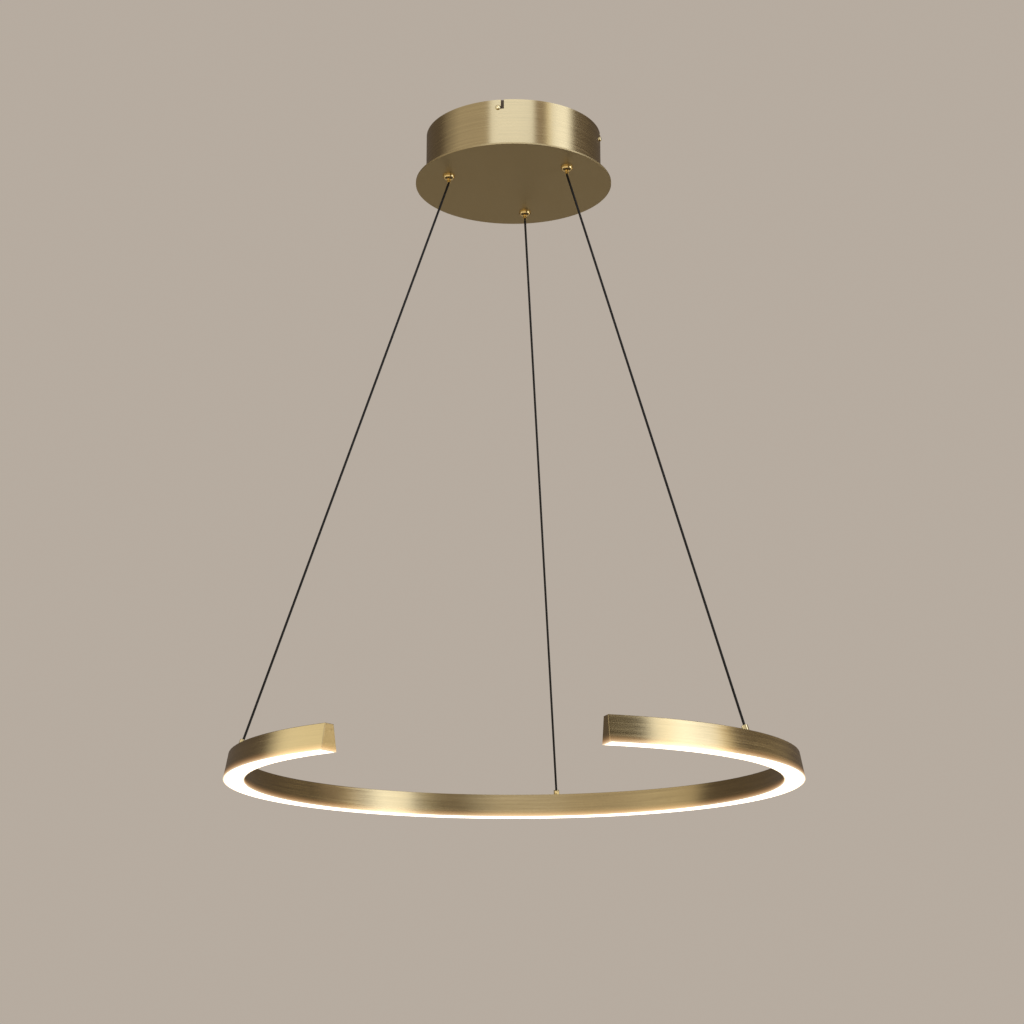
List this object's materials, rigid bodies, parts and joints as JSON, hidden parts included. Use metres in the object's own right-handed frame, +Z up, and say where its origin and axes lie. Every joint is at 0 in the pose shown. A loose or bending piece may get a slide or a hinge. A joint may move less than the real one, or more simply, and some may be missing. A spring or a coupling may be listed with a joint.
{
  "type": "led pendant light",
  "caption": "Open brushed brass light ring with a lit underside, hung by thin black cables from a round ceiling canopy.",
  "frame": {"origin": "centre of the ceiling bracket's top face, on the ceiling", "axes": "+Z up into the ceiling; -Y from the axis towards the ring's gap; +X to the right seen from the gap"},
  "size_m": [0.6006, 0.5685, 0.7313],
  "materials": {
    "bronze_steel": "dark bronze coat, satin",
    "brushed_brass_sheet": "satin, brushed round the axis",
    "brushed_brass_disc": "satin",
    "brass_anodised": "satin, brushed along the ring",
    "polished_brass": "polished",
    "turned_brass": "turned, pale and glossy",
    "plain_brass": "plain turned",
    "zinc_steel": "zinc plated",
    "spring_steel": "bright drawn wire",
    "black_rubber": "matt",
    "black_cable": "smooth black sleeve",
    "white_plastic": "moulded, fine texture",
    "green_board": "solder mask",
    "white_board": "white solder mask",
    "led_yellow": "phosphor",
    "lead_insulation": "insulated wire",
    "earth_insulation": "insulated wire",
    "opal_diffuser": "opal, lit warm white"
  },
  "bodies": {
    "ceiling_mount": {"ceiling_bracket": "bronze_steel", "mains_grommet": "black_rubber", "side_screws": "turned_brass", "earth_screw": "zinc_steel"},
    "canopy": {"canopy_housing": "brushed_brass_sheet", "canopy_disc": "brushed_brass_disc", "gripper_caps": "plain_brass", "gripper_nuts": "zinc_steel", "gripper_washers": "zinc_steel", "rear_cable_stop": "plain_brass", "driver_case": "white_plastic", "driver_cover": "white_plastic", "driver_board": "green_board", "driver_nuts": "zinc_steel", "terminal_block": "white_plastic", "terminal_barrels": "plain_brass", "terminal_screws": "zinc_steel", "terminal_nuts": "zinc_steel", "driver_leads": "lead_insulation", "earth_tag": "zinc_steel", "earth_nut": "zinc_steel", "earth_lead": "earth_insulation", "gripper_left": "polished_brass", "gripper_spring_left": "spring_steel", "suspension_cable_left": "black_cable", "cable_tail_left": "black_cable", "gripper_right": "polished_brass", "gripper_spring_right": "spring_steel", "suspension_cable_right": "black_cable", "cable_tail_right": "black_cable", "gripper_rear": "polished_brass", "gripper_spring_rear": "spring_steel", "suspension_cable_rear": "black_cable", "cable_tail_rear": "black_cable"},
    "ring": {"ring_channel": "brass_anodised", "ring_diffuser": "opal_diffuser", "led_strip": "white_board", "led_chips": "led_yellow", "end_cap_left": "brass_anodised", "end_cap_right": "brass_anodised", "feed_leads": "lead_insulation", "ferrule_nuts": "plain_brass", "cable_ferrule_left": "turned_brass", "cable_end_left": "black_cable", "cable_ferrule_right": "turned_brass", "cable_end_right": "black_cable", "cable_ferrule_rear": "turned_brass", "cable_end_rear": "black_cable"},
    "nozzle_left": {"release_nozzle_left": "polished_brass", "clamp_balls_left": "spring_steel"},
    "nozzle_right": {"release_nozzle_right": "polished_brass", "clamp_balls_right": "spring_steel"},
    "nozzle_rear": {"release_nozzle_rear": "polished_brass", "clamp_balls_rear": "spring_steel"}
  },
  "joints": [
    {"name": "canopy_twist", "type": "hinge", "parent": "ceiling_mount", "child": "canopy", "pos_m": [0, 0, 0], "axis": [0, 0, 1], "range_deg": [-2.9, 0]},
    {"name": "ring_height", "type": "slide", "parent": "canopy", "child": "ring", "axis": [0, 0, 1], "range_m": [0, 0.35], "deforming": ["suspension_cable_left", "suspension_cable_right", "suspension_cable_rear"]},
    {"name": "nozzle_press_left", "type": "slide", "parent": "canopy", "child": "nozzle_left", "axis": [0, 0, 1], "range_m": [0, 0.0025], "stiffness_N_per_m": 800, "deforming": ["gripper_spring_left"]},
    {"name": "nozzle_press_right", "type": "slide", "parent": "canopy", "child": "nozzle_right", "axis": [0, 0, 1], "range_m": [0, 0.0025], "stiffness_N_per_m": 800, "deforming": ["gripper_spring_right"]},
    {"name": "nozzle_press_rear", "type": "slide", "parent": "canopy", "child": "nozzle_rear", "axis": [0, 0, 1], "range_m": [0, 0.0025], "stiffness_N_per_m": 800, "deforming": ["gripper_spring_rear"]}
  ]
}
